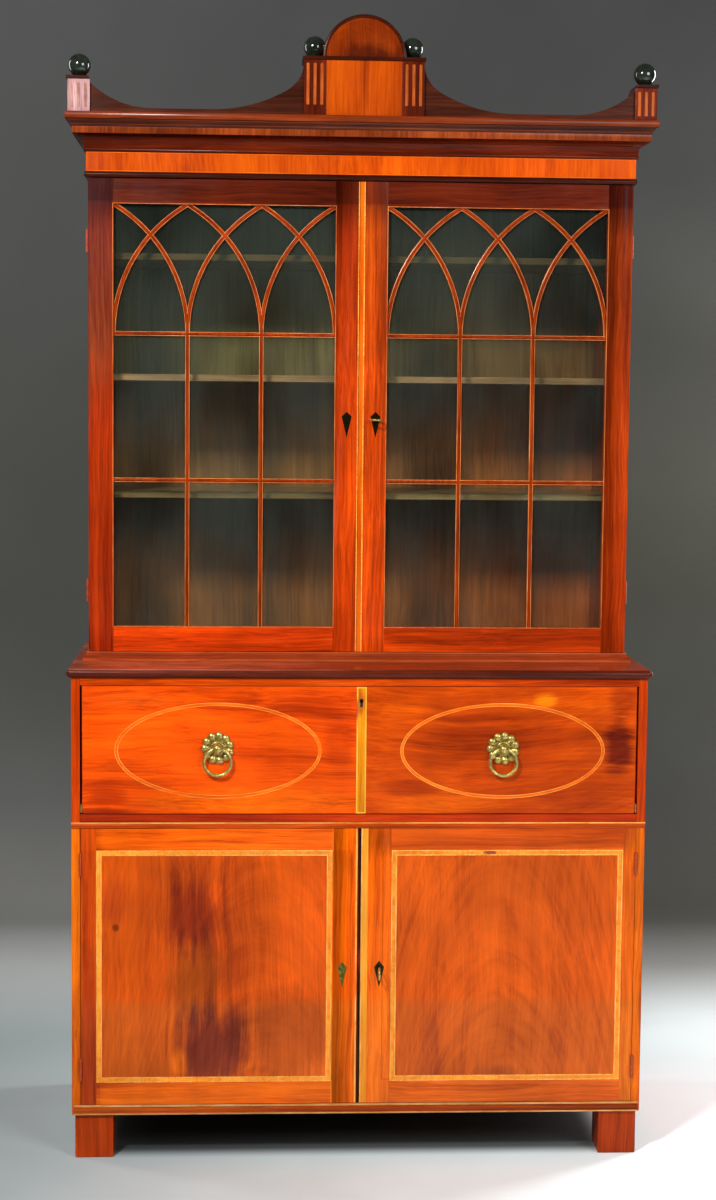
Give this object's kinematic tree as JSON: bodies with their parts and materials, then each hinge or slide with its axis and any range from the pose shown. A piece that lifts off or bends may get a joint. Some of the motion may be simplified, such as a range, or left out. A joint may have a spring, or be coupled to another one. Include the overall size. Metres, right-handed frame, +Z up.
{
  "type": "secretaire bookcase",
  "caption": "Tall inlaid wooden bookcase with glazed arched doors above a fall-front writing drawer and panelled cupboard doors.",
  "frame": {"origin": "on the floor, under the middle of the cabinet's whole outline", "axes": "+X to the reader's right, -Y out of the front, +Z up"},
  "size_m": [1.236, 0.5544, 2.388],
  "materials": {
    "mahogany": "french polished",
    "dark_mahogany": "french polished",
    "satinwood": "french polished",
    "ebonised": "black gloss",
    "lining_wood": "waxed",
    "brass": "aged",
    "lock_steel": "dull",
    "glass": "clear"
  },
  "bodies": {
    "cabinet": {"lower_side_left": "mahogany", "lower_side_right": "mahogany", "lower_bottom_board": "lining_wood", "lower_back_panel": "lining_wood", "cupboard_shelf": "lining_wood", "drawer_divider": "mahogany", "drawer_top_rail": "mahogany", "base_moulding": "mahogany", "waist_bead": "mahogany", "block_feet": "mahogany", "ledge_top": "dark_mahogany", "upper_side_left": "mahogany", "upper_side_right": "mahogany", "upper_case_boards": "lining_wood", "upper_back_panel": "lining_wood", "bookcase_shelves": "lining_wood", "upper_foot_moulding": "dark_mahogany", "head_bead": "dark_mahogany", "frieze": "satinwood", "cornice": "dark_mahogany", "plinths": "mahogany", "pediment_caps": "dark_mahogany", "tablet": "satinwood", "lunette": "satinwood", "ball_finials": "ebonised", "sweep_boards": "mahogany", "case_hinge_leaves": "brass"},
    "upper_left_door": {"upper_left_door_frame": "mahogany", "upper_left_tracery": "mahogany", "upper_left_glass": "glass", "upper_left_hinge_leaves": "brass"},
    "upper_right_door": {"upper_right_door_frame": "mahogany", "upper_right_tracery": "mahogany", "upper_right_glass": "glass", "upper_right_hinge_leaves": "brass", "upper_lock": "lock_steel"},
    "lower_left_door": {"lower_left_door_frame": "mahogany", "lower_left_door_panel": "mahogany", "lower_left_hinge_leaves": "brass"},
    "lower_right_door": {"lower_right_door_frame": "mahogany", "lower_right_door_panel": "mahogany", "lower_right_hinge_leaves": "brass", "lower_lock": "lock_steel"},
    "drawer": {"drawer_sides_and_back": "lining_wood", "drawer_bottom": "lining_wood", "fall_hinge_plates": "brass", "pigeonholes": "satinwood"},
    "fall": {"fall_front": "mahogany", "fall_lock": "lock_steel", "quadrant_stays": "brass", "pull_rosettes": "brass"},
    "left_ring": {"pull_ring_left": "brass"},
    "right_ring": {"pull_ring_right": "brass"},
    "upper_key": {"upper_key": "brass"},
    "upper_bolt": {"upper_bolt": "brass"},
    "lower_key": {"lower_key": "brass"},
    "lower_bolt": {"lower_bolt": "brass"},
    "fall_bolt": {"fall_bolt": "brass"},
    "small_drawer_left": {"small_drawer_left": "satinwood"},
    "small_drawer_right": {"small_drawer_right": "satinwood"}
  },
  "joints": [
    {"name": "upper_left_door_hinge", "type": "hinge", "parent": "cabinet", "child": "upper_left_door", "pos_m": [-0.5763, -0.0825, 1.555], "axis": [0, 0, -1], "range_deg": [0, 110]},
    {"name": "upper_right_door_hinge", "type": "hinge", "parent": "cabinet", "child": "upper_right_door", "pos_m": [0.5763, -0.0825, 1.555], "axis": [0, 0, 1], "range_deg": [0, 110]},
    {"name": "lower_left_door_hinge", "type": "hinge", "parent": "cabinet", "child": "lower_left_door", "pos_m": [-0.5815, -0.2461, 0.41], "axis": [0, 0, -1], "range_deg": [0, 110]},
    {"name": "lower_right_door_hinge", "type": "hinge", "parent": "cabinet", "child": "lower_right_door", "pos_m": [0.5815, -0.2461, 0.41], "axis": [0, 0, 1], "range_deg": [0, 110]},
    {"name": "drawer_slide", "type": "slide", "parent": "cabinet", "child": "drawer", "axis": [0, -1, 0], "range_m": [0, 0.26]},
    {"name": "fall_hinge", "type": "hinge", "parent": "drawer", "child": "fall", "pos_m": [0, -0.2318, 0.745], "axis": [1, 0, 0], "range_deg": [0, 90]},
    {"name": "left_ring_swing", "type": "hinge", "parent": "fall", "child": "left_ring", "pos_m": [-0.2975, -0.2558, 0.873], "axis": [-1, 0, 0], "range_deg": [0, 150]},
    {"name": "right_ring_swing", "type": "hinge", "parent": "fall", "child": "right_ring", "pos_m": [0.2975, -0.2558, 0.873], "axis": [-1, 0, 0], "range_deg": [0, 150]},
    {"name": "upper_key_turn", "type": "hinge", "parent": "upper_right_door", "child": "upper_key", "pos_m": [0.032, -0.1048, 1.553], "axis": [0, -1, 0], "range_deg": [0, 90]},
    {"name": "upper_bolt_slide", "type": "slide", "parent": "upper_right_door", "child": "upper_bolt", "axis": [-1, 0, 0], "range_m": [0, 0.008]},
    {"name": "lower_key_turn", "type": "hinge", "parent": "lower_right_door", "child": "lower_key", "pos_m": [0.042, -0.2428, 0.398], "axis": [0, 1, 0], "range_deg": [0, 90]},
    {"name": "lower_bolt_slide", "type": "slide", "parent": "lower_right_door", "child": "lower_bolt", "axis": [-1, 0, 0], "range_m": [0, 0.008]},
    {"name": "fall_bolt_slide", "type": "slide", "parent": "fall", "child": "fall_bolt", "axis": [0, 0, 1], "range_m": [0, 0.008]},
    {"name": "small_drawer_left_slide", "type": "slide", "parent": "drawer", "child": "small_drawer_left", "axis": [0, -1, 0], "range_m": [0, 0.11]},
    {"name": "small_drawer_right_slide", "type": "slide", "parent": "drawer", "child": "small_drawer_right", "axis": [0, -1, 0], "range_m": [0, 0.11]}
  ],
  "couplings": [
    {"joint": "upper_bolt_slide", "follows": "upper_key_turn", "m_per_rad": 0.0050929},
    {"joint": "lower_bolt_slide", "follows": "lower_key_turn", "m_per_rad": 0.0050929}
  ]
}
